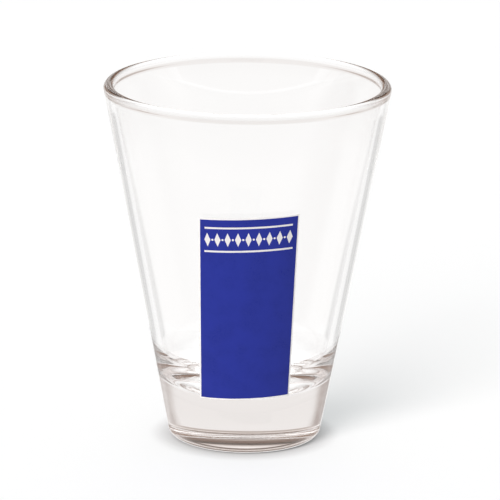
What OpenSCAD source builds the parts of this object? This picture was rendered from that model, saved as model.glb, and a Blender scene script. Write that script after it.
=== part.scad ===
// Tapered glass on a solid base, with a fired enamel panel on its front.
// It stands on its contact ring at z = 0, centred on the Z axis, and the panel faces -Y.
// The glass is one pressed piece. The panel is printed on it in two enamels, side by side:
// the blue one fills it, and the white one is its thin edge and the figures of its border.

/* [Glass body] */
// Height from the table to the top of the rim
glass_h = 76; // [64:0.5:100]
// Outside diameter of the rim
rim_d = 60; // [54:0.5:76]
// Diameter that the outer wall's line has at the table, if it ran on past the heel
base_d = 31.6; // [28:0.1:40]
// Thickness of the wall, square to its face; the rim is a full round of it
wall_t = 1.9; // [1.2:0.1:3]
// Radius that rounds the outer wall into the underside
heel_r = 2; // [1:0.1:3]

/* [Cavity floor] */
// Glass under the middle of the cavity's floor
floor_t = 11; // [8:0.5:22]
// Radius of the corner between the cavity's wall and its floor, where the floor is wide enough
floor_r = 12; // [4:0.5:16]
// Radius of the shallow dish that the floor is
dish_r = 80; // [40:5:200]

/* [Underside] */
// Width of the flat ring that the glass stands on
contact_w = 1.2; // [0.6:0.1:2]
// Radius that rounds the ring into the hollow
punt_r = 1; // [0.5:0.1:1.5]
// Height of the hollow in the middle of the underside
punt_h = 1; // [0.6:0.1:2]

/* [Enamel panel] */
// Height of the blue print's lower edge over the table, at its middle
panel_z = 13; // [8:0.5:16]
// Height of the blue print
panel_h = 40.3; // [30:0.1:46]
// Width of the blue print at its top, seen from the front
panel_top_w = 20; // [19:0.1:26]
// Width of the blue print at its bottom, seen from the front
panel_bottom_w = 17.9; // [14:0.1:22]
// Lean of the panel's middle line towards +X, in degrees
panel_lean = 0.8; // [-3:0.1:3]
// Rise of the print towards +X, in degrees
print_tilt = 2.5; // [-4:0.1:4]
// Thickness of both enamels
enamel_t = 0.08; // [0.05:0.01:0.3]
// Width of the white edge round the blue print
edge_w = 0.3; // [0.1:0.05:1]

/* [Panel border] */
// From the blue print's top edge down to the middle of the border
border_drop = 4.4; // [3.5:0.1:8]
// Distance between the middles of the two rules
rule_gap = 5.2; // [4:0.1:6]
// Width of each rule
rule_w = 0.4; // [0.3:0.05:0.8]
// Blue left between the ends of a rule and the blue print's side edges
rule_inset = 0.9; // [0.5:0.1:1.5]
// Number of lozenges between the rules
lozenge_count = 9; // [3:2:9]
// Height of a lozenge
lozenge_h = 3; // [2:0.1:3.2]
// Diameter of the dots between the lozenges
dot_d = 0.45; // [0.3:0.05:0.5]
// Blue left between a dot and the lozenges beside it
figure_gap = 0.2; // [0.1:0.05:0.3]

/* [Hidden] */
$fn = 240;
// Length by which a cutting shape runs past what it cuts
overrun = 2;

// The rim is a circle whose centre lies here; the outer wall is a line that touches it
rim_r = wall_t / 2;
rim_x = rim_d / 2 - rim_r;
rim_z = glass_h - rim_r;
// Lean of the wall, from the line that touches the rim and starts at the base diameter
rim_run = rim_x - base_d / 2;
wall_lean = atan2(rim_run, rim_z) + asin(rim_r / norm([rim_run, rim_z]));
// Unit directions in the profile: out of the outer wall, and up along it
wall_out = [cos(wall_lean), -sin(wall_lean)];
wall_up = [sin(wall_lean), cos(wall_lean)];

// The heel's circle touches the outer wall and the table
heel_x = base_d / 2 + heel_r * (tan(wall_lean) - 1 / cos(wall_lean));
// The hollow's circles touch each other: a small one on the contact ring, a large one over the hollow
ring_x = heel_x - contact_w;
punt_dome_r = (ring_x * ring_x + punt_h * punt_h) / (2 * punt_h) - punt_r;
punt_dome_z = punt_h - punt_dome_r;
punt_meet = punt_dome_r / (punt_dome_r + punt_r);

// Radius of the outer wall at a height
function outer_r(z) = base_d / 2 + z * tan(wall_lean);
// Radius of the inner wall at a height
function inner_r(z) = outer_r(z) - wall_t / cos(wall_lean);

// Largest share of the cavity's radius at its floor that the corner's radius may take
corner_share = 0.8;
corner_r = min(floor_r, corner_share * inner_r(floor_t));
// The corner's circle touches the inner wall, so its centre runs up a line beside the wall.
// It also touches the dish's circle from inside, which picks its place on that line.
dish = [0, floor_t + dish_r];
corner_line = [inner_r(0), 0] - corner_r * wall_out;
corner_run = (dish - corner_line) * wall_up;
corner_gap = norm(dish - corner_line);
corner = corner_line
    + (corner_run - sqrt(corner_run ^ 2 - corner_gap ^ 2 + (dish_r - corner_r) ^ 2)) * wall_up;
dish_edge = dish + dish_r / (dish_r - corner_r) * (corner - dish);

// Middles of the panel's bottom and top edges, seen from the front
panel_top_x = panel_h * tan(panel_lean);
border_z = panel_z + panel_h - border_drop;
border_x = (border_z - panel_z) * tan(panel_lean);
border_w = panel_bottom_w + (panel_top_w - panel_bottom_w) * (border_z - panel_z) / panel_h;

// The row of figures is as wide as the rules, along the surface, and the lozenges take what the
// dots and the gaps leave of it
border_r = outer_r(border_z);
row_w = 2 * border_r * asin((border_w / 2 - rule_inset) / border_r) * PI / 180;
dot_room = dot_d + 2 * figure_gap;
lozenge_pitch = (row_w + dot_room) / lozenge_count;
lozenge_w = lozenge_pitch - dot_room;

// Outline of the glass body before the cavity is taken out, up to the rim's circle
module body_outline() {
    rim = [rim_x, rim_z];
    heel = [heel_x, heel_r];
    ring = [ring_x, punt_r];
    dome = [0, punt_dome_z];
    meet = dome + punt_meet * (ring - dome);
    difference() {
        polygon([
            [0, meet.y],
            meet,
            ring,
            [ring_x, 0],
            [heel_x, 0],
            heel,
            heel + heel_r * wall_out,
            rim + rim_r * wall_out,
            rim,
            rim - (rim_r + overrun) * wall_out,
            [0, rim_z + overrun]
        ]);
        translate(dome) circle(r = punt_dome_r, $fn = 4 * $fn);
    }
    translate(ring) circle(r = punt_r);
    translate(heel) circle(r = heel_r);
}

// Outline of the cavity, from its floor to past the rim
module cavity_outline() {
    wall_low = corner + corner_r * wall_out;
    wall_high = wall_low + (glass_h + overrun) * wall_up;
    polygon([
        [0, dish_edge.y],
        dish_edge,
        corner,
        wall_low,
        wall_high,
        [0, wall_high.y]
    ]);
    translate(corner) circle(r = corner_r);
    intersection() {
        translate(dish) circle(r = dish_r, $fn = 4 * $fn);
        translate([0, floor_t]) square([dish_edge.x, dish_edge.y - floor_t]);
    }
}

// The pressed glass: wall, rim, solid base with its dished floor, and the hollow underneath
module glass_body() {
    color([0.86, 0.88, 0.88, 0.35])
    rotate_extrude() {
        difference() {
            body_outline();
            cavity_outline();
        }
        translate([rim_x, rim_z]) circle(r = rim_r);
    }
}

// A shape drawn on the front, as seen from -Y, driven through the front half of the glass
module through_front() {
    rotate([90, 0, 0])
    linear_extrude(height = rim_d)
    children();
}

// The enamel that a shape driven through the front would leave on the outer wall
module printed() {
    low_z = panel_z - overrun;
    high_z = panel_z + panel_h + overrun;
    low = [outer_r(low_z), low_z];
    high = [outer_r(high_z), high_z];
    intersection() {
        rotate_extrude()
        polygon([low, low + enamel_t * wall_out, high + enamel_t * wall_out, high]);
        children();
    }
}

// A four-sided outline between two level lines, each tilted with the print about its middle
module tilted_quad(low, low_w, high, high_w) {
    low_half = low_w / 2 * [1, tan(print_tilt)];
    high_half = high_w / 2 * [1, tan(print_tilt)];
    polygon([low - low_half, low + low_half, high + high_half, high - high_half]);
}

// The panel, grown on all sides
module panel_area(grow) {
    through_front()
    tilted_quad([0, panel_z - grow], panel_bottom_w + 2 * grow,
        [panel_top_x, panel_z + panel_h + grow], panel_top_w + 2 * grow);
}

// One rule of the border, at a height over the border's middle
module rule_area(offset_z) {
    middle = [border_x, border_z + offset_z];
    width = border_w - 2 * rule_inset;
    through_front()
    tilted_quad(middle - [0, rule_w / 2], width, middle + [0, rule_w / 2], width);
}

// Drives a figure through the wall at a distance along the border from its middle
module at_border(along) {
    turn = along / border_r * 180 / PI + asin(border_x / border_r);
    rotate([0, 0, turn])
    translate([0, 0, border_z + along * tan(print_tilt)])
    through_front()
    children();
}

// The border's figures: two rules, and lozenges with dots between them
module border_figures() {
    for (side = [-1, 1]) {
        rule_area(side * rule_gap / 2);
    }
    for (i = [0 : lozenge_count - 1]) {
        at_border((i - (lozenge_count - 1) / 2) * lozenge_pitch)
        polygon([[0, -lozenge_h / 2], [lozenge_w / 2, 0], [0, lozenge_h / 2], [-lozenge_w / 2, 0]]);
    }
    for (i = [1 : lozenge_count - 1]) {
        at_border((i - lozenge_count / 2) * lozenge_pitch)
        circle(d = dot_d);
    }
}

// The white enamel: the panel's edge, and the figures of its border
module white_enamel_print() {
    color("white") {
        printed()
        difference() {
            panel_area(edge_w);
            panel_area(0);
        }
        printed() border_figures();
    }
}

// The blue enamel fills the panel, round the figures
module blue_enamel_print() {
    color([0.18, 0.22, 0.56])
    printed()
    difference() {
        panel_area(0);
        border_figures();
    }
}

glass_body();
white_enamel_print();
blue_enamel_print();
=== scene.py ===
"""Looks of a tapered drinking glass with a fired enamel panel, in the frame of its CAD model.

The glass body is turned from its profile. The panel is printed on the wall's cone: a white ground,
the blue over it, and a border of white figures. Lengths are in millimetres in the classes and in
metres in the meshes.
"""

import logging
import math
from dataclasses import dataclass, field
from enum import Enum
from typing import Any, Sequence

import bmesh
import bpy
import numpy as np
from mathutils import Matrix, Vector


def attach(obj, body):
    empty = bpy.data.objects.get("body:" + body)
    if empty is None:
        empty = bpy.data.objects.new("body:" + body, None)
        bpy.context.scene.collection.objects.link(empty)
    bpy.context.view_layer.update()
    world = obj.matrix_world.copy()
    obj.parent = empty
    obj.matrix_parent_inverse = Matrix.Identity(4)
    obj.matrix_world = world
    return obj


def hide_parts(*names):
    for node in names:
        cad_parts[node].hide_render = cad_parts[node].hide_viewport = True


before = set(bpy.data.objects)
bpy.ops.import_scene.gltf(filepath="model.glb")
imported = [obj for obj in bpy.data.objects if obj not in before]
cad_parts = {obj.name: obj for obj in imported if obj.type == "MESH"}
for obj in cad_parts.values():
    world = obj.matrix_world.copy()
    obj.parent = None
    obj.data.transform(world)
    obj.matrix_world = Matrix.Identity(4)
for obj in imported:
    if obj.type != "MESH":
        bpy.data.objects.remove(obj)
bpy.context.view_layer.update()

LOG = logging.getLogger("drinking_glass")
Point = tuple[float, float]
Pair = tuple[float, float]
Edges = tuple[float, float, float, float]
Colour = tuple[float, float, float]
Stops = tuple[tuple[float, Colour], ...]
Inputs = dict[str, tuple[str, Any]]

# One millimetre, in the meshes' metres
MM = 0.001
# The one body of an object with no joints
BODY = "root"
BLACK = (0.0, 0.0, 0.0)
WHITE = (1.0, 1.0, 1.0)
# Points of a profile nearer to each other than this, in millimetres, are one point
SAME_POINT = 1e-4
# A point nearer to the axis than this, in millimetres, lies on it
ON_AXIS = 1e-9
# Corners of a turned mesh nearer to each other than this, in metres, are welded
WELD = 1e-6
# An edge shorter than this, in metres, is taken out of a mesh
NO_LENGTH = 1e-8
# Keeps a divisor clear of nought
OFF_NOUGHT = 1e-4
# Surfaces that light goes on through, as many as clear glass needs
LIGHT_TURNS = 24
# Corners of a printed patch, seen from the front
CORNERS = ("Low left", "Low right", "High right", "High left")


class Enamel(Enum):
    """The two enamels that the panel is printed in."""

    WHITE = "white_enamel"
    BLUE = "blue_enamel"


class Figure(Enum):
    """The small figures that stand in the border's row."""

    LOZENGE = "lozenge"
    DOT = "dot"


# Shader and node maths


def opaque(colour: Colour) -> tuple[float, float, float, float]:
    """A colour as a colour socket takes it."""
    return (*colour, 1.0)


class Wire:
    """One output socket of a node tree, with the operators that its maths is written in."""

    def __init__(self, tree: "Tree", socket: bpy.types.NodeSocket) -> None:
        """Keeps the tree and the socket."""
        self.tree = tree
        self.socket = socket

    def _math(self, operation: str, *values: Any) -> "Wire":
        """Adds a Math node on the values and returns its result."""
        return self.tree.add("ShaderNodeMath", {"operation": operation}, dict(enumerate(values)))[0]

    def __add__(self, other: Any) -> "Wire":
        """This plus the other."""
        return self._math("ADD", self, other)

    def __radd__(self, other: Any) -> "Wire":
        """The other plus this."""
        return self._math("ADD", other, self)

    def __sub__(self, other: Any) -> "Wire":
        """This minus the other."""
        return self._math("SUBTRACT", self, other)

    def __rsub__(self, other: Any) -> "Wire":
        """The other minus this."""
        return self._math("SUBTRACT", other, self)

    def __mul__(self, other: Any) -> "Wire":
        """This times the other."""
        return self._math("MULTIPLY", self, other)

    def __rmul__(self, other: Any) -> "Wire":
        """The other times this."""
        return self._math("MULTIPLY", other, self)

    def __truediv__(self, other: Any) -> "Wire":
        """This over the other."""
        return self._math("DIVIDE", self, other)

    def __rtruediv__(self, other: Any) -> "Wire":
        """The other over this."""
        return self._math("DIVIDE", other, self)

    def __pow__(self, other: Any) -> "Wire":
        """This to the power of the other."""
        return self._math("POWER", self, other)

    def __neg__(self) -> "Wire":
        """This with its sign turned."""
        return self._math("MULTIPLY", self, -1.0)

    def floor(self) -> "Wire":
        """The whole number at or under this."""
        return self._math("FLOOR", self)

    def clamp(self) -> "Wire":
        """This, held between nought and one."""
        return self._math("MINIMUM", self._math("MAXIMUM", self, 0.0), 1.0)

    def sin(self) -> "Wire":
        """Sine of this angle in radians."""
        return self._math("SINE", self)

    def cos(self) -> "Wire":
        """Cosine of this angle in radians."""
        return self._math("COSINE", self)

    def tan(self) -> "Wire":
        """Tangent of this angle in radians."""
        return self.sin() / self.cos()

    def asin(self) -> "Wire":
        """Angle in radians whose sine this is."""
        return self._math("ARCSINE", self)


class Outputs:
    """The outputs of one node, by place or by name."""

    def __init__(self, tree: "Tree", node: bpy.types.Node) -> None:
        """Keeps the tree and the node."""
        self.tree = tree
        self.node = node

    def __getitem__(self, key: int | str) -> Wire:
        """The output with that place or name."""
        return Wire(self.tree, self.node.outputs[key])


class Tree:
    """Builds a shader, world or geometry node tree."""

    def __init__(self, tree: bpy.types.NodeTree) -> None:
        """Takes an existing tree and empties it."""
        self.tree = tree
        tree.nodes.clear()

    def add(self, kind: str, settings: dict[str, Any] | None = None,
            inputs: dict[int | str, Any] | None = None) -> Outputs:
        """Adds one node.

        Args:
            kind: The node's type.
            settings: Its own settings, set before its sockets. "stops" fills a colour ramp.
            inputs: Values or wires by socket name or place.

        Returns:
            The node's outputs.
        """
        node = self.tree.nodes.new(kind)
        for key, value in (settings or {}).items():
            if key == "stops":
                self._fill_ramp(node.color_ramp, value)
            else:
                setattr(node, key, value)
        for key, value in (inputs or {}).items():
            if isinstance(value, Wire):
                self.tree.links.new(value.socket, node.inputs[key])
            else:
                node.inputs[key].default_value = value
        return Outputs(self, node)

    @staticmethod
    def _fill_ramp(ramp: bpy.types.ColorRamp, stops: Stops) -> None:
        """Sets the stops of a colour ramp.

        Args:
            ramp: The node's ramp.
            stops: Positions from nought to one in rising order, with a colour each.
        """
        while len(ramp.elements) > 1:
            ramp.elements.remove(ramp.elements[-1])
        ramp.elements[0].position = stops[0][0]
        ramp.elements[0].color = opaque(stops[0][1])
        for position, colour in stops[1:]:
            ramp.elements.new(position).color = opaque(colour)

    def xyz(self, vector: Wire) -> tuple[Wire, Wire, Wire]:
        """The three parts of a vector."""
        parts = self.add("ShaderNodeSeparateXYZ", inputs={0: vector})
        return parts[0], parts[1], parts[2]

    def vector(self, x: Any, y: Any, z: Any) -> Wire:
        """A vector from its three parts."""
        return self.add("ShaderNodeCombineXYZ", inputs={0: x, 1: y, 2: z})[0]

    def mix_vector(self, share: Wire, low: Wire, high: Wire) -> Wire:
        """A vector between two, by a share from nought to one."""
        return self.add("ShaderNodeMix", {"data_type": "VECTOR"}, {0: share, 4: low, 5: high})[1]

    def mix_colour(self, share: Wire, low: Any, high: Any) -> Wire:
        """A colour between two colours or wires, by a share from nought to one."""
        low, high = (c if isinstance(c, Wire) else opaque(c) for c in (low, high))
        return self.add("ShaderNodeMix", {"data_type": "RGBA"}, {0: share, 6: low, 7: high})[2]

    def mix_shader(self, share: Wire, low: Wire, high: Wire) -> Wire:
        """A shader between two, by a share from nought to one."""
        return self.add("ShaderNodeMixShader", inputs={0: share, 1: low, 2: high})[0]

    def smooth(self, value: Wire, low: float, high: float) -> Wire:
        """A smooth step from nought at low to one at high."""
        settings = {"interpolation_type": "SMOOTHSTEP"}
        return self.add("ShaderNodeMapRange", settings, {0: value, 1: low, 2: high})[0]

    def step(self, value: Wire, place: float, ease: float) -> Wire:
        """A smooth step from nought to one at a place, eased over a length on both its sides."""
        return self.smooth(value, place - ease, place + ease)

    def noise(self, place: Wire, scale: float, detail: float, roughness: float = 0.5) -> Wire:
        """Noise that wanders about a half."""
        return self.add("ShaderNodeTexNoise", inputs={
            "Vector": place, "Scale": scale, "Detail": detail, "Roughness": roughness})[0]


def shader_tree(name: str) -> tuple[bpy.types.Material, Tree]:
    """Makes an empty node material.

    Args:
        name: The material's name.

    Returns:
        The material and its tree.
    """
    material = bpy.data.materials.new(name)
    material.use_nodes = True
    return material, Tree(material.node_tree)


class Recipe:
    """A Geometry Nodes tree with named inputs, run once on a mesh to make a plain mesh."""

    def __init__(self, name: str, material: bpy.types.Material, inputs: Inputs) -> None:
        """Makes the tree and its inputs.

        Args:
            name: The tree's name.
            material: The material of what it makes, which is its input Finish.
            inputs: For each other input its socket type and its value.
        """
        self.group = bpy.data.node_groups.new(name, "GeometryNodeTree")
        self.tree = Tree(self.group)
        face = self.group.interface
        face.new_socket("Geometry", in_out="INPUT", socket_type="NodeSocketGeometry")
        face.new_socket("Geometry", in_out="OUTPUT", socket_type="NodeSocketGeometry")
        self.values: dict[str, Any] = {}
        for label, (kind, value) in (inputs | {"Finish": ("Material", material)}).items():
            socket = face.new_socket(label, in_out="INPUT", socket_type=f"NodeSocket{kind}")
            self.values[socket.identifier] = value
        self.source = self.tree.add("NodeGroupInput")

    def __getitem__(self, label: str) -> Wire:
        """The named input."""
        return self.source[label]

    def finish(self, geometry: Wire) -> None:
        """Ends the tree in Realize Instances and Set Material.

        Args:
            geometry: What the tree has made.
        """
        real = self.tree.add("GeometryNodeRealizeInstances", inputs={0: geometry})[0]
        dressed = self.tree.add("GeometryNodeSetMaterial", inputs={
            "Geometry": real, "Material": self["Finish"]})[0]
        self.tree.add("NodeGroupOutput", inputs={0: dressed})

    def run(self, name: str, seed_mesh: bpy.types.Mesh | None = None) -> bpy.types.Object:
        """Runs the tree and keeps its result as a plain mesh object.

        Args:
            name: Name of the finished piece.
            seed_mesh: The mesh that the tree starts from, if it needs one.

        Returns:
            The piece, at the origin, closed and facing outwards, with no modifier left on it.
        """
        start = seed_mesh or bpy.data.meshes.new(name + "_seed")
        piece = bpy.data.objects.new(name, start)
        bpy.context.scene.collection.objects.link(piece)
        modifier = piece.modifiers.new("recipe", "NODES")
        modifier.node_group = self.group
        for identifier, value in self.values.items():
            modifier[identifier] = value
        bpy.context.view_layer.update()
        evaluated = piece.evaluated_get(bpy.context.evaluated_depsgraph_get())
        mesh = bpy.data.meshes.new_from_object(evaluated)
        piece.modifiers.clear()
        piece.data = mesh
        mesh.name = name
        face_outwards(piece)
        return piece


def face_outwards(piece: bpy.types.Object) -> None:
    """Turns every face of a closed piece outwards and leaves no doubled corner.

    Args:
        piece: The piece, whose mesh is changed.
    """
    mesh = bmesh.new()
    mesh.from_mesh(piece.data)
    bmesh.ops.dissolve_degenerate(mesh, edges=mesh.edges, dist=NO_LENGTH)
    bmesh.ops.recalc_face_normals(mesh, faces=mesh.faces)
    mesh.to_mesh(piece.data)
    mesh.free()


def joined(name: str, parts: Sequence[bpy.types.Object]) -> bpy.types.Object:
    """Joins plain mesh pieces that share a material into one.

    Args:
        name: Name of the joined piece.
        parts: The pieces, which are used up.

    Returns:
        The joined piece.
    """
    verts: list[Vector] = []
    faces: list[list[int]] = []
    for part in parts:
        shift = len(verts)
        verts += [v.co.copy() for v in part.data.vertices]
        faces += [[shift + i for i in face.vertices] for face in part.data.polygons]
    mesh = bpy.data.meshes.new(name)
    mesh.from_pydata(verts, [], faces)
    mesh.materials.append(parts[0].data.materials[0])
    mesh.update()
    for part in parts:
        bpy.data.objects.remove(part)
    piece = bpy.data.objects.new(name, mesh)
    bpy.context.scene.collection.objects.link(piece)
    return piece


# Finishes


@dataclass(frozen=True)
class ClearGlass:
    """Clear pressed glass: fire-polished, faintly warm where thick, scuffed where it stands.

    The render has no caustics, so shadow and matt rays pass the glass almost straight. Light that
    would circle in the wall near the rim for ever leaves it after a few turns, and late rays near
    the rim are dimmed by a painted dark brown shade.
    """

    ior: float = 1.52
    tint: Colour = (0.74, 0.67, 0.64)
    tint_density: float = 8.0
    ripple_scale: float = 95.0
    ripple_detail: float = 1.0
    ripple_grain: float = 0.3
    ripple_height: float = 0.0022
    scuff_scale: float = 2600.0
    scuff_detail: float = 3.0
    scuff_share: Pair = (0.42, 0.62)
    scuff_roughness: float = 0.32
    scuff_height: float = 0.25
    shadow_wall: float = 0.95
    shadow_base: float = 0.52
    shadow_height: Pair = (2.0, 14.0)
    wall_turns: Pair = (4.5, 13.5)
    wall_chord: float = 3.0
    chord_ease: float = 0.6
    wall_foot: float = 60.0
    foot_ease: float = 5.0
    rim_turns: float = 5.5
    turn_ease: float = 0.1
    # Painted shade: the dark brown tint that late rays near the rim pass through
    rim_painted_dusk: Colour = (0.22, 0.14, 0.10)

    def material(self) -> bpy.types.Material:
        """The glass's material: its surface, and the tint of its depth.

        Returns:
            The material.
        """
        material, tree = shader_tree("clear_glass")
        place = tree.add("ShaderNodeTexCoord")["Object"]
        height = tree.xyz(place)[2]
        path = tree.add("ShaderNodeLightPath")
        upper = tree.step(height, self.wall_foot * MM, self.foot_ease * MM)
        straight = (self._passes(tree, path, height) + self._leaves(tree, path) * upper).clamp()
        late = tree.step(path["Ray Depth"], self.rim_turns, self.turn_ease) * upper
        clear = tree.add("ShaderNodeBsdfTransparent", inputs={"Color": opaque(WHITE)})[0]
        # Painted shade: rays that turn late near the rim go on through a dark brown tint
        dusk = tree.add("ShaderNodeBsdfTransparent", inputs={"Color": opaque(self.rim_painted_dusk)})[0]
        surface = tree.mix_shader(straight, self._polished(tree, place, height), clear)
        surface = tree.mix_shader(late, surface, dusk)
        depth = tree.add("ShaderNodeVolumeAbsorption", inputs={
            "Color": opaque(self.tint), "Density": self.tint_density})[0]
        tree.add("ShaderNodeOutputMaterial", inputs={"Surface": surface, "Volume": depth})
        return material

    def _polished(self, tree: Tree, place: Wire, height: Wire) -> Wire:
        """The glass that is seen, with ripples of the mould and a scuffed contact ring.

        Args:
            tree: The material's tree.
            place: The place on the glass.
            height: Its height over the table.

        Returns:
            The shader.
        """
        stands = 1.0 - tree.smooth(height, 0.0, self.scuff_height * MM)
        fine = tree.noise(place, self.scuff_scale, self.scuff_detail)
        scuff = stands * tree.smooth(fine, *self.scuff_share)
        ripple = tree.noise(place, self.ripple_scale, self.ripple_detail, self.ripple_grain)
        bump = tree.add("ShaderNodeBump", inputs={
            "Strength": 1.0, "Distance": self.ripple_height * MM, "Height": ripple})[0]
        return tree.add("ShaderNodeBsdfPrincipled", inputs={
            "Base Color": opaque(WHITE),
            "Roughness": scuff * self.scuff_roughness,
            "IOR": self.ior,
            "Transmission Weight": 1.0,
            "Normal": bump,
        })[0]

    def _passes(self, tree: Tree, path: Outputs, height: Wire) -> Wire:
        """The share of shadow and matt rays that pass straight, less in the thick base.

        Args:
            tree: The material's tree.
            path: Outputs of its Light Path node.
            height: Height over the table.

        Returns:
            The share, nought for other rays.
        """
        lights = (path["Is Shadow Ray"] + path["Is Diffuse Ray"]).clamp()
        low, high = self.shadow_height
        thin = tree.smooth(height, low * MM, high * MM)
        return lights * (self.shadow_base + (self.shadow_wall - self.shadow_base) * thin)

    def _leaves(self, tree: Tree, path: Outputs) -> Wire:
        """One for a ray that has turned often and crosses only the wall's thickness.

        Args:
            tree: The material's tree.
            path: Outputs of its Light Path node.

        Returns:
            The share.
        """
        few, many = (tree.step(path["Ray Depth"], turns, self.turn_ease)
                     for turns in self.wall_turns)
        long_way = tree.step(path["Ray Length"], self.wall_chord * MM, self.chord_ease * MM)
        return few * (1.0 - many) * (1.0 - long_way)


@dataclass(frozen=True)
class FiredEnamel:
    """A screen-printed glass enamel, fired to a soft gloss, with the screen's grain and flow."""

    enamel: Enamel
    colour: Colour
    deep: Colour
    roughness: float
    ior: float = 1.55
    specular: float = 0.12
    cloud_scale: float = 260.0
    cloud_detail: float = 4.0
    cloud_grain: float = 0.55
    cloud_share: Pair = (0.3, 0.7)
    cloud_gloss: float = 0.10
    cloud_flow: float = 0.75
    grain_scale: float = 5200.0
    grain_detail: float = 2.0
    grain_gloss: float = 0.16
    flow_height: float = 0.006
    flow_strength: float = 0.6

    def material(self) -> bpy.types.Material:
        """The enamel's material: cloudy pigment, grain in its gloss, and a slight flow of the coat.

        Returns:
            The material.
        """
        material, tree = shader_tree(self.enamel.value)
        place = tree.add("ShaderNodeTexCoord")["Object"]
        cloud = tree.noise(place, self.cloud_scale, self.cloud_detail, self.cloud_grain)
        grain = tree.noise(place, self.grain_scale, self.grain_detail)
        colour = tree.mix_colour(tree.smooth(cloud, *self.cloud_share), self.deep, self.colour)
        gloss = (grain - 0.5) * self.grain_gloss + (cloud - 0.5) * self.cloud_gloss
        coat = cloud * self.cloud_flow + grain * (1.0 - self.cloud_flow)
        bump = tree.add("ShaderNodeBump", inputs={
            "Strength": self.flow_strength, "Distance": self.flow_height * MM, "Height": coat})[0]
        enamel = tree.add("ShaderNodeBsdfPrincipled", inputs={
            "Base Color": colour,
            "Roughness": (self.roughness + gloss).clamp(),
            "IOR": self.ior,
            "Specular IOR Level": self.specular,
            "Normal": bump,
        })[0]
        tree.add("ShaderNodeOutputMaterial", inputs={"Surface": enamel})
        return material


# The glass


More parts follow.
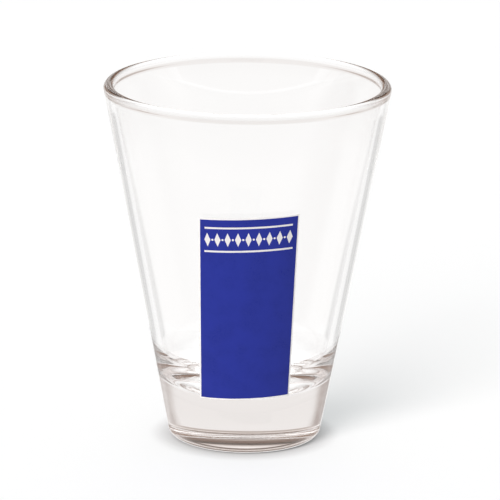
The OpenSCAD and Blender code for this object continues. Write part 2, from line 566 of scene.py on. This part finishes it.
@dataclass
class GlassBody:
    """The pressed glass: tapered wall, round rim, thick base, dished floor and hollow underside."""

    height: float = 76.0
    rim_d: float = 60.0
    base_d: float = 31.6
    wall_t: float = 1.9
    bead: float = 0.3
    bead_fall: float = 1.15
    rim_ease: float = 0.002
    heel_r: float = 2.0
    floor_t: float = 11.0
    floor_r: float = 12.0
    dish_r: float = 80.0
    contact_w: float = 1.2
    punt_r: float = 1.0
    punt_h: float = 1.0
    turn_steps: int = 360
    hollow_steps: int = 20
    ring_steps: int = 6
    heel_steps: int = 16
    rim_steps: int = 48
    bead_steps: int = 12
    corner_steps: int = 28
    dish_steps: int = 12
    longest: float = 3.0
    finish: ClearGlass = field(default_factory=ClearGlass)

    def __post_init__(self) -> None:
        """Works out the wall's lean, and the directions out of the wall and up along it."""
        rim_r = self.wall_t / 2
        run, rise = self.rim_d / 2 - rim_r - self.base_d / 2, self.height - rim_r
        self.lean = math.atan2(run, rise) + math.asin(rim_r / math.hypot(run, rise))
        self.lean_deg = math.degrees(self.lean)
        self.wall_out = np.array([math.cos(self.lean), -math.sin(self.lean)])
        self.wall_up = np.array([math.sin(self.lean), math.cos(self.lean)])

    def outer_r(self, z: float) -> float:
        """Radius of the outer wall at a height."""
        return self.base_d / 2 + z * math.tan(self.lean)

    @staticmethod
    def arc(centre: Sequence[float], radius: float, start: float, end: float,
            count: int) -> list[Point]:
        """Points of an arc in so many steps, from its start angle to its end angle in degrees."""
        turns = np.radians(np.linspace(start, end, count + 1))
        return [(centre[0] + radius * math.cos(a), centre[1] + radius * math.sin(a)) for a in turns]

    def profile(self) -> list[Point]:
        """The half profile, from the middle of the underside round the rim to the cavity."""
        return self._even(self._underside() + self._rim() + self._cavity())

    def _underside(self) -> list[Point]:
        """The hollow underneath, the contact ring and the heel.

        Returns:
            The points, from the middle of the hollow out to the foot of the wall.
        """
        heel_x = self.base_d / 2 + self.heel_r * (math.tan(self.lean) - 1 / math.cos(self.lean))
        ring_x = heel_x - self.contact_w
        dome_r = (ring_x ** 2 + self.punt_h ** 2) / (2 * self.punt_h) - self.punt_r
        dome_z = self.punt_h - dome_r
        meet = math.degrees(math.atan2(self.punt_r - dome_z, ring_x))
        points = self.arc((0.0, dome_z), dome_r, 90, meet, self.hollow_steps)
        points += self.arc((ring_x, self.punt_r), self.punt_r, meet + 180, 270, self.ring_steps)
        points += self.arc((heel_x, self.heel_r), self.heel_r, -90, -self.lean_deg, self.heel_steps)
        return points

    def _rim(self) -> list[Point]:
        """The fire-polished rim, and the slight bead that it has on its inner side.

        Returns:
            The points, from the outer wall over the top and down to the inner wall.
        """
        radius = (self.wall_t + self.bead) / 2
        low_z = self.height - self.rim_ease - radius
        middle = np.array([self.outer_r(low_z) - radius / math.cos(self.lean), low_z])
        points = self.arc(middle, radius, -self.lean_deg, 180 - self.lean_deg, self.rim_steps)
        for share in np.linspace(0.0, 1.0, self.bead_steps + 1)[1:]:
            inwards = radius - self.bead * share * share * (3 - 2 * share)
            spot = middle - inwards * self.wall_out - share * self.bead_fall * self.wall_up
            points.append((float(spot[0]), float(spot[1])))
        return points

    def _cavity(self) -> list[Point]:
        """The cavity's round corner and its dished floor.

        Returns:
            The points, from the foot of the inner wall in to the middle of the floor.
        """
        dish = np.array([0.0, self.floor_t + self.dish_r])
        inner = self.base_d / 2 - self.wall_t / math.cos(self.lean)
        line = np.array([inner, 0.0]) - self.floor_r * self.wall_out
        run = float((dish - line) @ self.wall_up)
        gap = float(np.linalg.norm(dish - line))
        reach = run - math.sqrt(run ** 2 - gap ** 2 + (self.dish_r - self.floor_r) ** 2)
        corner = line + reach * self.wall_up
        turn = math.degrees(math.atan2(corner[1] - dish[1], corner[0] - dish[0]))
        points = self.arc(corner, self.floor_r, -self.lean_deg, turn, self.corner_steps)
        points += self.arc(dish, self.dish_r, turn, -90, self.dish_steps)
        return points

    def _even(self, points: Sequence[Point]) -> list[Point]:
        """Drops doubled points and splits long straight runs.

        Args:
            points: The profile's points.

        Returns:
            The new points.
        """
        result = [points[0]]
        for point in points[1:]:
            last = result[-1]
            length = math.hypot(point[0] - last[0], point[1] - last[1])
            if length < SAME_POINT:
                continue
            count = max(1, math.ceil(length / self.longest))
            result += [(last[0] + (point[0] - last[0]) * k / count,
                        last[1] + (point[1] - last[1]) * k / count) for k in range(1, count + 1)]
        return [(0.0 if abs(r) < ON_AXIS else r, z) for r, z in result]

    def _lathe(self, count: int) -> Recipe:
        """A tree that turns a profile of so many points round the Z axis.

        Args:
            count: Number of the profile's points.

        Returns:
            The tree, ready to run on the profile.
        """
        recipe = Recipe("turned_glass", self.finish.material(), {
            "Profile points": ("Int", count),
            "Steps": ("Int", self.turn_steps),
            "Weld distance": ("Float", WELD),
        })
        tree = recipe.tree
        columns = recipe["Steps"] + 1.0
        grid = tree.add("GeometryNodeMeshGrid", inputs={
            "Vertices X": recipe["Profile points"], "Vertices Y": columns})[0]
        index = tree.add("GeometryNodeInputIndex")[0]
        row = ((index + 0.5) / columns).floor()
        here = tree.add("GeometryNodeInputPosition")[0]
        at = tree.add("GeometryNodeSampleIndex", {"data_type": "FLOAT_VECTOR"}, {
            "Geometry": recipe["Geometry"], "Value": here, "Index": row})[0]
        radius, _, height = tree.xyz(at)
        angle = (index - row * columns) / recipe["Steps"] * math.tau
        spot = tree.vector(radius * angle.cos(), radius * angle.sin(), height)
        turned = tree.add("GeometryNodeSetPosition", inputs={"Geometry": grid, "Position": spot})[0]
        welded = tree.add("GeometryNodeMergeByDistance", inputs={
            "Geometry": turned, "Distance": recipe["Weld distance"]})[0]
        smooth = tree.add("GeometryNodeSetShadeSmooth", inputs={"Geometry": welded})[0]
        recipe.finish(smooth)
        return recipe

    def build(self) -> bpy.types.Object:
        """Turns the glass and dresses it.

        Returns:
            The glass body.
        """
        points = self.profile()
        seed = bpy.data.meshes.new("glass_profile")
        seed.from_pydata([(r * MM, 0.0, z * MM) for r, z in points], [], [])
        return self._lathe(len(points)).run("glass_body_turned", seed)


# The panel


def cone_radius(recipe: Recipe, height: Wire) -> Wire:
    """Radius of the outer wall at a height, from a tree's own inputs for the wall."""
    return recipe["Base radius"] + height * recipe["Wall lean"].tan()


def round_the_axis(tree: Tree, radius: Wire, turn: Wire, height: Wire) -> Wire:
    """A place from its radius, its turn from the front towards +X, and its height."""
    return tree.vector(radius * turn.sin(), -(radius * turn.cos()), height)


@dataclass
class PrintedPanel:
    """The blue enamel field on the front of the wall, and the white ground that edges it."""

    glass: GlassBody
    low_z: float = 13.0
    rise: float = 40.3
    top_w: float = 20.0
    bottom_w: float = 17.9
    lean_deg: float = 0.8
    tilt_deg: float = 2.5
    enamel_t: float = 0.08
    edge_w: float = 0.3
    ground_t: float = 0.05
    sunk: float = 0.03
    figure_proud: float = 0.012
    columns: int = 48
    rows: int = 96
    blue: FiredEnamel = FiredEnamel(
        Enamel.BLUE, colour=(0.0185, 0.031, 0.292), deep=(0.0160, 0.0275, 0.262), roughness=0.30)
    white: FiredEnamel = FiredEnamel(
        Enamel.WHITE, colour=(0.93, 0.93, 0.92), deep=(0.89, 0.89, 0.88), roughness=0.26)

    def wall_inputs(self) -> Inputs:
        """The inputs by which a tree knows the wall that it prints on."""
        return {"Base radius": ("Float", self.glass.base_d / 2 * MM),
                "Wall lean": ("Float", self.glass.lean)}

    def _quad(self, grow: float) -> list[Point]:
        """Corners of the panel, grown on all sides.

        Args:
            grow: Width that is added along each side.

        Returns:
            Low left, low right, high right and high left corner, seen from the front.
        """
        tilt = math.tan(math.radians(self.tilt_deg))
        low = (self.bottom_w / 2 + grow, self.low_z - grow, 0.0)
        high = (self.top_w / 2 + grow, self.low_z + self.rise + grow,
                self.rise * math.tan(math.radians(self.lean_deg)))
        corners = []
        for (half, z, x), side in ((low, -1), (low, 1), (high, 1), (high, -1)):
            corners.append((x + side * half, z + side * half * tilt))
        return corners

    def _slab(self, name: str, corners: Sequence[Point], proud: float, sunk: float, rows: int,
              material: bpy.types.Material) -> bpy.types.Object:
        """Prints a four-cornered patch on the wall's cone.

        Args:
            name: Name of the piece.
            corners: Low left, low right, high right and high left corner, seen from the front.
            proud: Height of its outer face over the glass.
            sunk: Depth of its inner face in the glass, less than nought where it lies over it.
            rows: Number of steps up.
            material: Its material.

        Returns:
            The patch, a closed thin slab.
        """
        places = {label: ("Vector", (x * MM, 0.0, z * MM))
                  for label, (x, z) in zip(CORNERS, corners)}
        recipe = Recipe("printed_slab", material, places | self.wall_inputs() | {
            "Columns": ("Int", self.columns + 1),
            "Rows": ("Int", rows + 1),
            "Proud": ("Float", proud * MM),
            "Sunk": ("Float", sunk * MM),
        })
        tree = recipe.tree
        box = tree.add("GeometryNodeMeshCube", inputs={
            "Size": (1.0, 1.0, 1.0), "Vertices X": recipe["Columns"], "Vertices Y": 2,
            "Vertices Z": recipe["Rows"]})[0]
        x, y, z = tree.xyz(tree.add("GeometryNodeInputPosition")[0])
        across, up, inward = x + 0.5, z + 0.5, y + 0.5
        low = tree.mix_vector(across, recipe["Low left"], recipe["Low right"])
        high = tree.mix_vector(across, recipe["High left"], recipe["High right"])
        flat_x, _, flat_z = tree.xyz(tree.mix_vector(up, low, high))
        lean, radius = recipe["Wall lean"], cone_radius(recipe, flat_z)
        off = recipe["Proud"] - inward * (recipe["Proud"] + recipe["Sunk"])
        spot = round_the_axis(tree, radius + off * lean.cos(), (flat_x / radius).asin(),
                              flat_z - off * lean.sin())
        placed = tree.add("GeometryNodeSetPosition", inputs={"Geometry": box, "Position": spot})[0]
        recipe.finish(placed)
        return recipe.run(name)

    def build_field(self) -> bpy.types.Object:
        """The blue field, pressed as deep into the ground as the ground is into the glass."""
        return self._slab("blue_field", self._quad(0.0), self.enamel_t, self.sunk - self.ground_t,
                          self.rows, self.blue.material())

    def build_ground(self, material: bpy.types.Material) -> bpy.types.Object:
        """The white ground, which shows as an edge round the blue and through the glass."""
        return self._slab("white_ground", self._quad(self.edge_w), self.ground_t, self.sunk,
                          self.rows, material)

    def build_rule(self, name: str, middle: Point, width: float, thickness: float,
                   material: bpy.types.Material) -> bpy.types.Object:
        """A tilted rule of the border.

        Args:
            name: Name of the piece.
            middle: Its middle, seen from the front.
            width: Its length across.
            thickness: Its width.
            material: Its material.

        Returns:
            The rule, a little proud of the blue.
        """
        x, z = middle
        half_w, half_t = width / 2, thickness / 2
        rise = half_w * math.tan(math.radians(self.tilt_deg))
        corners = [(x - half_w, z - rise - half_t), (x + half_w, z + rise - half_t),
                   (x + half_w, z + rise + half_t), (x - half_w, z - rise + half_t)]
        return self._slab(name, corners, self.enamel_t + self.figure_proud, 0.0, 1, material)


@dataclass
class PanelBorder:
    """A plain traditional border across the panel: two rules, and lozenges with dots between."""

    panel: PrintedPanel
    drop: float = 4.4
    rule_gap: float = 5.2
    rule_w: float = 0.4
    rule_inset: float = 0.9
    count: int = 9
    lozenge_h: float = 3.0
    lozenge_corners: int = 4
    dot_d: float = 0.45
    dot_corners: int = 20
    figure_gap: float = 0.2

    def __post_init__(self) -> None:
        """Works out the border's middle, the wall's radius there, and the figures' widths."""
        panel = self.panel
        self.z = panel.low_z + panel.rise - self.drop
        up = self.z - panel.low_z
        self.x = up * math.tan(math.radians(panel.lean_deg))
        width = panel.bottom_w + (panel.top_w - panel.bottom_w) * up / panel.rise
        self.rule_length = width - 2 * self.rule_inset
        self.radius = panel.glass.outer_r(self.z)
        row = 2 * self.radius * math.asin(self.rule_length / 2 / self.radius)
        dot_room = self.dot_d + 2 * self.figure_gap
        self.pitch = (row + dot_room) / self.count
        self.lozenge_w = self.pitch - dot_room

    def _row_recipe(self, figure: Figure, material: bpy.types.Material) -> Recipe:
        """Starts the tree that sets one kind of figure along the border.

        Args:
            figure: The kind of figure.
            material: Its material.

        Returns:
            The tree, with its inputs only.
        """
        if figure is Figure.LOZENGE:
            count, corners = self.count, self.lozenge_corners
            width, height = self.lozenge_w, self.lozenge_h
        else:
            count, corners = self.count - 1, self.dot_corners
            width, height = self.dot_d, self.dot_d
        return Recipe(f"{figure.value}_row", material, self.panel.wall_inputs() | {
            "Count": ("Int", count),
            "Corners": ("Int", corners),
            "Pitch": ("Float", self.pitch * MM),
            "Width": ("Float", width * MM),
            "Height": ("Float", height * MM),
            "Proud": ("Float", (self.panel.enamel_t + self.panel.figure_proud) * MM),
            "Middle height": ("Float", self.z * MM),
            "Middle turn": ("Float", math.asin(self.x / self.radius)),
            "Tilt": ("Float", math.radians(self.panel.tilt_deg)),
        })

    def _row(self, figure: Figure, material: bpy.types.Material) -> bpy.types.Object:
        """Sets one kind of figure along the border, each square to the wall.

        Args:
            figure: The kind of figure.
            material: Its material.

        Returns:
            The row of figures as one piece.
        """
        recipe = self._row_recipe(figure, material)
        tree, lean, proud = recipe.tree, recipe["Wall lean"], recipe["Proud"]
        disc = tree.add("GeometryNodeMeshCylinder", inputs={
            "Vertices": recipe["Corners"], "Radius": 0.5, "Depth": 1.0})[0]
        sized = tree.add("GeometryNodeTransform", inputs={
            "Geometry": disc,
            "Translation": tree.vector(0.0, 0.0, proud * 0.5),
            "Scale": tree.vector(recipe["Width"], recipe["Height"] / lean.cos(), proud),
        })[0]
        line = tree.add("GeometryNodeMeshLine", inputs={"Count": recipe["Count"]})[0]
        index = tree.add("GeometryNodeInputIndex")[0]
        along = (index - (recipe["Count"] - 1.0) * 0.5) * recipe["Pitch"]
        turn = along / cone_radius(recipe, recipe["Middle height"]) + recipe["Middle turn"]
        up = recipe["Middle height"] + along * recipe["Tilt"].tan()
        spot = round_the_axis(tree, cone_radius(recipe, up), turn, up)
        points = tree.add("GeometryNodeSetPosition", inputs={"Geometry": line, "Position": spot})[0]
        stand = tree.vector(lean + math.pi / 2, 0.0, turn)
        aimed = tree.add("FunctionNodeEulerToRotation", inputs={0: stand})[0]
        placed = tree.add("GeometryNodeInstanceOnPoints", inputs={
            "Points": points, "Instance": sized, "Rotation": aimed})[0]
        recipe.finish(placed)
        return recipe.run(f"{figure.value}_row")

    def build(self, material: bpy.types.Material) -> bpy.types.Object:
        """The border's rules and figures, a little proud of the blue.

        Args:
            material: The white enamel.

        Returns:
            The border as one piece.
        """
        parts = [self._row(figure, material) for figure in Figure]
        for name, side in (("low_rule", -1), ("high_rule", 1)):
            middle = (self.x, self.z + side * self.rule_gap / 2)
            parts.append(self.panel.build_rule(name, middle, self.rule_length, self.rule_w,
                                               material))
        return joined("white_border", parts)


# Table, light and camera


@dataclass(frozen=True)
class Sight:
    """The direction that is looked at in the room, as sines and cosines of its angles."""

    height: Wire
    ahead: Wire
    onward: Wire
    aside: Wire

    @classmethod
    def of(cls, tree: Tree) -> "Sight":
        """Takes the direction apart.

        Args:
            tree: The world's tree.

        Returns:
            Its height, its part ahead, and on the level its shares ahead and to the right.
        """
        right, ahead, height = tree.xyz(tree.add("ShaderNodeTexCoord")["Generated"])
        level = (1.0 - height * height).clamp() ** 0.5 + OFF_NOUGHT
        return cls(height, ahead, ahead / level, right / level)


@dataclass(frozen=True)
class PhotoStudio:
    """A pale table with a painted contact shade by the glass, a soft key lamp, and a plain room.

    The room is white to the camera. Matt surfaces get a plain sky from it, and a lit backdrop.
    Clear glass shows its walls: stops of elevation in degrees with a colour each, one row for the
    wall behind the glass and one for the rest. A dark gap low at both sides, a darker part in
    front and a grey card at each side behind lie over them. Heights and turns with four edges
    rise from the first to the second and fall from the third to the fourth.
    """

    table_size: float = 8000.0
    table_drop: float = 0.05
    table_colour: Colour = (0.7, 0.7, 0.7028)
    table_glow: Colour = (0.412, 0.430, 0.433)
    # Reach in millimetres and steepness of the painted contact shade in the table's glow
    painted_shade_reach: float = 4.5
    painted_shade_depth: float = 1.2
    sky: float = 0.30
    backdrop: float = 1.5
    backdrop_height: Edges = (-1.0, 1.0, 22.0, 28.0)
    backdrop_reach: Pair = (0.60, 0.80)
    key_strength: float = 2.85
    key_colour: Colour = (1.0, 0.95, 0.935)
    key_spread: float = 26.0
    key_heading: float = 28.0
    key_height: float = 32.0
    room_light: float = 1.6
    behind: Stops = (
        (-90, (1.6, 1.6, 1.6)), (-55, (1.4, 1.4, 1.4)), (-34, (0.98, 0.98, 0.98)),
        (-17, (1.0, 0.995, 0.99)), (-13, (1.0, 0.995, 0.99)), (-8, (0.90, 0.875, 0.86)),
        (-1, (0.88, 0.85, 0.835)), (1, (0.50, 0.42, 0.38)), (6, (0.48, 0.40, 0.36)),
        (9, (0.84, 0.78, 0.74)), (11, (0.84, 0.78, 0.74)), (13, (0.26, 0.18, 0.14)),
        (20, (0.17, 0.10, 0.07)), (27, (0.07, 0.05, 0.035)), (29, (0.42, 0.34, 0.30)),
        (34, (0.98, 0.92, 0.88)), (38, (1.1, 1.1, 1.1)), (90, (1.0, 1.0, 1.0)),
    )
    around: Stops = (
        (-90, (1.6, 1.6, 1.6)), (-55, (1.4, 1.4, 1.4)), (-34, (1.2, 1.2, 1.2)),
        (-17, (0.98, 0.97, 0.97)), (-8, (0.86, 0.83, 0.81)), (-1, (0.80, 0.77, 0.75)),
        (1, (0.65, 0.61, 0.59)), (6, (1.0, 0.93, 0.90)), (10, (1.0, 0.93, 0.90)),
        (14, (0.85, 0.79, 0.76)), (24, (0.65, 0.60, 0.58)), (28, (0.90, 0.84, 0.81)),
        (33, (1.25, 1.25, 1.25)), (40, (1.5, 1.5, 1.5)), (55, (1.6, 1.6, 1.6)),
        (90, (1.45, 1.45, 1.45)),
    )
    behind_reach: Pair = (30.0, 68.0)
    gap_colour: Colour = (0.12, 0.06, 0.04)
    gap_dark: Pair = (0.75, 0.20)
    gap_height: Edges = (-2.0, 0.5, 3.5, 6.0)
    gap_reach: Pair = (0.70, 0.92)
    front_colour: Colour = (0.20, 0.18, 0.17)
    front_dark: float = 0.5
    front_height: Edges = (-14.0, 1.0, 14.0, 28.0)
    front_reach: Pair = (0.30, 0.75)
    card_colour: Colour = (0.10, 0.10, 0.10)
    card_dark: float = 0.45
    card_height: Edges = (-23.0, -20.0, -18.0, -16.5)
    card_turn: Edges = (13.0, 18.0, 27.0, 33.0)
    card_reach: Pair = (0.2, 0.4)

    def build(self) -> None:
        """Builds the table, the room round it and the key lamp."""
        self._table()
        self._room()
        self._key()

    def _table(self) -> None:
        """A pale table top that keeps the shadow and shows as near white."""
        half = self.table_size / 2 * MM
        mesh = bpy.data.meshes.new("table_top")
        mesh.from_pydata([(-half, -half, 0), (half, -half, 0), (half, half, 0), (-half, half, 0)],
                         [], [(0, 1, 2, 3)])
        mesh.materials.append(self._table_finish())
        top = bpy.data.objects.new("table_top", mesh)
        top.location.z = -self.table_drop * MM
        top.visible_glossy = False
        top.visible_transmission = False
        bpy.context.scene.collection.objects.link(top)

    def _table_finish(self) -> bpy.types.Material:
        """A matt coat, and a glow to the eye with a painted contact shade that darkens it near the
        glass.

        Returns:
            The table's material.
        """
        material, tree = shader_tree("pale_table")
        path = tree.add("ShaderNodeLightPath")
        seen = path["Is Camera Ray"] + path["Is Glossy Ray"] + path["Is Transmission Ray"]
        # Painted contact shade: ambient occlusion darkens the table's glow close to the glass
        near = tree.add("ShaderNodeAmbientOcclusion", inputs={
            "Distance": self.painted_shade_reach * MM})["AO"]
        glow_with_painted_shade = tree.mix_colour(near ** self.painted_shade_depth, BLACK, self.table_glow)
        matt = tree.add("ShaderNodeBsdfDiffuse", inputs={"Color": opaque(self.table_colour)})[0]
        glow = tree.add("ShaderNodeEmission", inputs={"Color": glow_with_painted_shade, "Strength": seen.clamp()})[0]
        both = tree.add("ShaderNodeAddShader", inputs={0: matt, 1: glow})[0]
        tree.add("ShaderNodeOutputMaterial", inputs={"Surface": both})
        return material

    def _wall(self, tree: Tree, height: Wire, stops: Stops) -> Wire:
        """A wall's colours, as a ramp over the sine of the elevation.

        Args:
            tree: The world's tree.
            height: Sine of the elevation that is looked at.
            stops: Elevations in degrees, and their colours.

        Returns:
            The colour, as a share of the room's light.
        """
        ramp = tuple(((math.sin(math.radians(degrees)) + 1) / 2,
                      tuple(part / self.room_light for part in colour))
                     for degrees, colour in stops)
        return tree.add("ShaderNodeValToRGB", {"stops": ramp}, {0: height * 0.5 + 0.5})[0]

    @staticmethod
    def _window(tree: Tree, sine: Wire, edges: Edges) -> Wire:
        """One between the two middle angles in degrees, falling to nought at the outer ones."""
        low, full, still, gone = (math.sin(math.radians(edge)) for edge in edges)
        return tree.smooth(sine, low, full) * (1.0 - tree.smooth(sine, still, gone))

    def _walls(self, tree: Tree, sight: Sight) -> Wire:
        """The room that clear glass shows.

        Args:
            tree: The world's tree.
            sight: The direction that is looked at.

        Returns:
            The colour, as a share of the room's light.
        """
        near, far = (math.cos(math.radians(turn)) for turn in self.behind_reach)
        shade = tree.mix_colour(tree.smooth(sight.onward, far, near),
                                self._wall(tree, sight.height, self.around),
                                self._wall(tree, sight.height, self.behind))
        left, right = self.gap_dark
        gap = self._window(tree, sight.height, self.gap_height) * (
            left * tree.smooth(-sight.aside, *self.gap_reach)
            + right * tree.smooth(sight.aside, *self.gap_reach))
        front = self._window(tree, sight.height, self.front_height) * tree.smooth(
            -sight.onward, *self.front_reach)
        cards = self._window(tree, sight.aside, self.card_turn) + self._window(
            tree, -sight.aside, self.card_turn)
        cards = cards * self._window(tree, sight.height, self.card_height) * tree.smooth(
            sight.ahead, *self.card_reach)
        shade = tree.mix_colour(gap, shade, self.gap_colour)
        shade = tree.mix_colour(front * self.front_dark, shade, self.front_colour)
        return tree.mix_colour(cards * self.card_dark, shade, self.card_colour)

    @staticmethod
    def _light(tree: Tree, colour: Any, strength: Any) -> Wire:
        """Light of a colour and strength, from far off."""
        return tree.add("ShaderNodeBackground", inputs={"Color": colour, "Strength": strength})[0]

    def _room(self) -> None:
        """White to the camera, plain light to matt surfaces, and the room to clear glass."""
        world = bpy.data.worlds.new("studio")
        bpy.context.scene.world = world
        world.use_nodes = True
        tree = Tree(world.node_tree)
        path = tree.add("ShaderNodeLightPath")
        sight = Sight.of(tree)
        lit = self._window(tree, sight.height, self.backdrop_height) * tree.smooth(
            sight.onward, *self.backdrop_reach)
        walls = self._light(tree, self._walls(tree, sight), self.room_light)
        plain = self._light(tree, opaque(WHITE), self.sky + lit * self.backdrop)
        white = self._light(tree, opaque(WHITE), 1.0)
        mirrored = (path["Is Glossy Ray"] + path["Is Transmission Ray"]).clamp()
        unseen = tree.mix_shader(mirrored, plain, walls)
        tree.add("ShaderNodeOutputWorld", inputs={
            0: tree.mix_shader(path["Is Camera Ray"], unseen, white)})

    def _key(self) -> None:
        """A soft key lamp from the front left."""
        lamp = bpy.data.lights.new("key", "SUN")
        lamp.angle = math.radians(self.key_spread)
        lamp.energy = self.key_strength
        lamp.color = self.key_colour
        holder = bpy.data.objects.new("key", lamp)
        heading, height = math.radians(self.key_heading), math.radians(self.key_height)
        travel = Vector((math.sin(heading) * math.cos(height), math.cos(heading) * math.cos(height),
                         -math.sin(height)))
        holder.rotation_euler = travel.to_track_quat("-Z", "Y").to_euler()
        holder.visible_glossy = False
        holder.visible_transmission = False
        bpy.context.scene.collection.objects.link(holder)


@dataclass(frozen=True)
class PhotoCamera:
    """The camera at the photograph's viewing angle. Pixels are those of a 500 by 500 frame."""

    frame_px: float = 500.0
    focal_px: float = 4764.0
    centre_px: Point = (245.9, 259.2)
    distance: float = 1000.0
    target_z: float = 38.0
    look_down: float = 15.12
    roll: float = 0.57
    sensor: float = 36.0
    clip: Pair = (10.0, 100000.0)

    def build(self) -> None:
        """Places and aims the camera, with no shift."""
        down, roll = math.radians(self.look_down), math.radians(self.roll)
        back = Vector((0.0, -math.cos(down), math.sin(down)))
        right = Vector((1.0, 0.0, 0.0))
        up = back.cross(right)
        turned_right = math.cos(roll) * right + math.sin(roll) * up
        turned_up = math.cos(roll) * up - math.sin(roll) * right
        off_x, off_y = ((px - self.frame_px / 2) / self.focal_px for px in self.centre_px)
        ahead = (-back - off_x * turned_right + off_y * turned_up).normalized()
        side = (turned_right - ahead * turned_right.dot(ahead)).normalized()
        top = side.cross(ahead)
        axes = Matrix((side, top, -ahead)).transposed()
        data = bpy.data.cameras.new("camera")
        data.sensor_width = self.sensor
        data.lens = self.focal_px / self.frame_px * self.sensor
        data.clip_start, data.clip_end = (length * MM for length in self.clip)
        camera = bpy.data.objects.new("camera", data)
        place = Vector((0.0, 0.0, self.target_z * MM)) + back * (self.distance * MM)
        camera.matrix_world = Matrix.Translation(place) @ axes.to_4x4()
        bpy.context.scene.collection.objects.link(camera)
        bpy.context.scene.camera = camera


# Building it all


def mount(piece: bpy.types.Object, node: str) -> None:
    """Rides a piece on the object's body in place of its CAD node.

    Args:
        piece: The finished piece.
        node: The CAD node that it stands for.
    """
    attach(piece, BODY)
    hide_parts(node)
    LOG.info("%s: %d faces, stands for %s", piece.name, len(piece.data.polygons), node)


def set_light_paths() -> None:
    """Lets light go on through as many surfaces as clear glass needs, and sets the plain view."""
    cycles = bpy.context.scene.cycles
    for limit in ("max", "transmission", "glossy", "transparent_max"):
        setattr(cycles, f"{limit}_bounces", LIGHT_TURNS)
    cycles.caustics_refractive = False
    cycles.caustics_reflective = False
    bpy.context.scene.view_settings.view_transform = "Standard"


def main() -> None:
    """Builds the glass, its panel and border, the studio and the camera."""
    logging.basicConfig(level=logging.INFO, format="%(name)s: %(message)s")
    glass = GlassBody()
    panel = PrintedPanel(glass)
    border = PanelBorder(panel)
    white = panel.white.material()
    mount(glass.build(), "glass_body")
    mount(panel.build_field(), "blue_enamel_print")
    mount(panel.build_ground(white), "white_enamel_print")
    mount(border.build(white), "white_enamel_print")
    PhotoStudio().build()
    PhotoCamera().build()
    set_light_paths()


if __name__ == "__main__":
    main()
